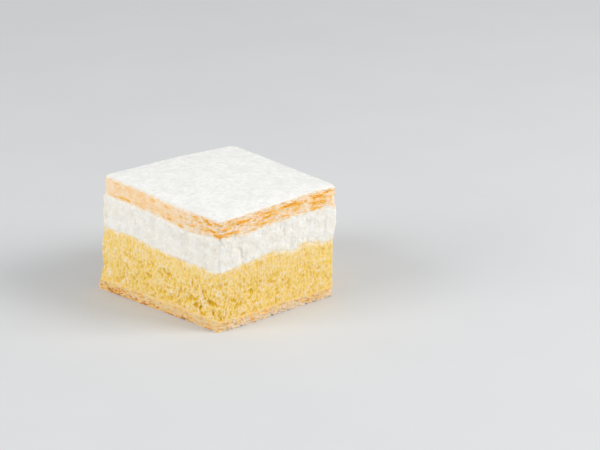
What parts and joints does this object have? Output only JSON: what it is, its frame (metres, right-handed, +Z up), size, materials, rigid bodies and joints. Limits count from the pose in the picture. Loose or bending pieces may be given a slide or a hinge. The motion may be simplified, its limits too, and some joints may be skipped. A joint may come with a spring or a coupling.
{
  "type": "mille feuille slice",
  "caption": "Square-cut layered cream slice: flaky pastry foot, thick custard, whipped cream and a puff pastry lid dusted with icing sugar.",
  "frame": {"origin": "middle of the foot's bounding box, on the surface the slice stands on", "axes": "+Z up through the layers, +Y along the long side, +X along the short side; the cut faces at -X and -Y meet in the sharp front corner"},
  "size_m": [0.0749, 0.0772, 0.0531],
  "materials": {
    "bottom_pastry": "dry, flaky baked puff pastry, tan with browned spots",
    "custard": "moist set custard, pale yellow, torn and finely pitted at the cut",
    "whipped_cream": "soft matt white whipped cream",
    "top_pastry": "baked puff pastry in thin leaves, pale tan with golden brown streaks",
    "icing_sugar": "dry matt white powder"
  },
  "bodies": {
    "root": {"bottom_pastry": "bottom_pastry", "custard": "custard", "whipped_cream": "whipped_cream", "top_pastry": "top_pastry", "icing_sugar": "icing_sugar"}
  },
  "joints": []
}
